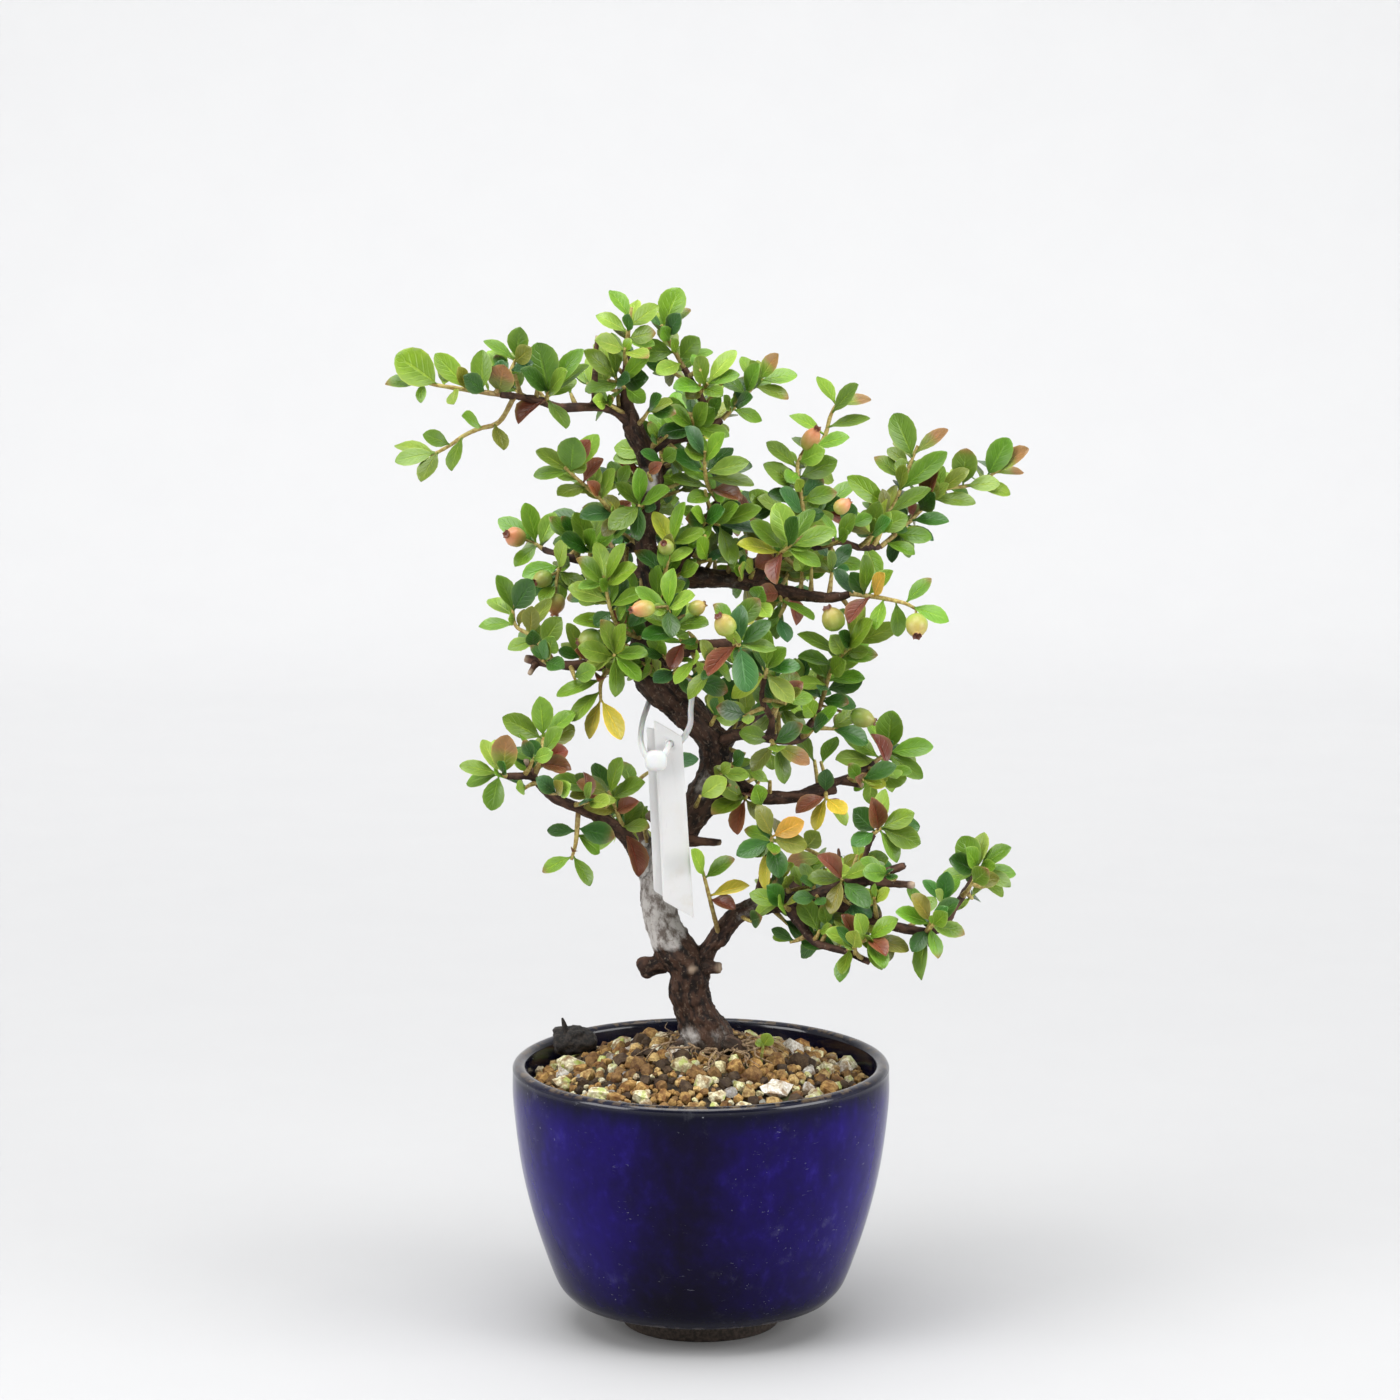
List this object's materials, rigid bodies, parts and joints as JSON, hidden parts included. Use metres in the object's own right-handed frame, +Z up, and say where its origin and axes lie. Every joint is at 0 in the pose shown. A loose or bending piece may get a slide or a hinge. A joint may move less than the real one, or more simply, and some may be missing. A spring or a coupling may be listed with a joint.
{
  "type": "potted cotoneaster bonsai",
  "caption": "Small bonsai with a twisting trunk, spreading branches, leafy shoots and berries, in a round glazed pot with soil, plant tags and a cable tie.",
  "frame": {"origin": "on the surface that the pot stands on, below the middle of the whole model's box; the pot's own axis stands 3.8 mm towards -X and 0.9 mm towards -Y of it", "axes": "+Z up along the pot's axis, -Y towards the viewer of the front, +X to that viewer's right"},
  "size_m": [0.1502, 0.0918, 0.2479],
  "materials": {
    "glaze": "gloss",
    "soil": "rough",
    "bark": "rough",
    "feed": "rough",
    "net": "satin",
    "tag": "satin",
    "tie": "satin",
    "leaf": "satin"
  },
  "bodies": {
    "root": {"drain_net": "net", "fertiliser_cake": "feed", "pot": "glaze", "seedling": "leaf", "shoot_apex_left": "leaf", "shoot_apex_top": "leaf", "shoot_back_crown": "leaf", "shoot_back_left": "leaf", "shoot_back_low_left": "leaf", "shoot_back_low_right": "leaf", "shoot_back_middle": "leaf", "shoot_back_right": "leaf", "shoot_crown_low": "leaf", "shoot_crown_right": "leaf", "shoot_crown_tip": "leaf", "shoot_crown_twig": "leaf", "shoot_front_left": "leaf", "shoot_front_right": "leaf", "shoot_front_tip": "leaf", "shoot_front_up": "leaf", "shoot_left_front": "leaf", "shoot_left_hanging": "leaf", "shoot_left_low": "leaf", "shoot_left_middle": "leaf", "shoot_left_tip": "leaf", "shoot_left_upper": "leaf", "shoot_low_left_hanging": "leaf", "shoot_low_left_tip": "leaf", "shoot_low_left_twig": "leaf", "shoot_low_left_up": "leaf", "shoot_low_middle_twig": "leaf", "shoot_low_right_fork": "leaf", "shoot_low_right_hanging": "leaf", "shoot_low_right_tip": "leaf", "shoot_low_right_twig": "leaf", "shoot_low_right_upper": "leaf", "shoot_low_twig": "leaf", "shoot_middle_fan": "leaf", "shoot_middle_hanging": "leaf", "shoot_middle_low": "leaf", "shoot_middle_tip": "leaf", "shoot_middle_top": "leaf", "shoot_right_below": "leaf", "shoot_right_cluster": "leaf", "shoot_right_inner": "leaf", "shoot_right_middle": "leaf", "shoot_right_outer": "leaf", "shoot_right_thin": "leaf", "shoot_right_top": "leaf", "shoot_right_upper": "leaf", "shoot_trunk_front": "leaf", "shoot_trunk_left": "leaf", "shoot_trunk_upper": "leaf", "shoot_upper_left_fan": "leaf", "shoot_upper_left_tip": "leaf", "soil": "soil", "tag_back": "tag", "tag_front": "tag", "tag_tie": "tie", "wood": "bark"}
  },
  "joints": []
}
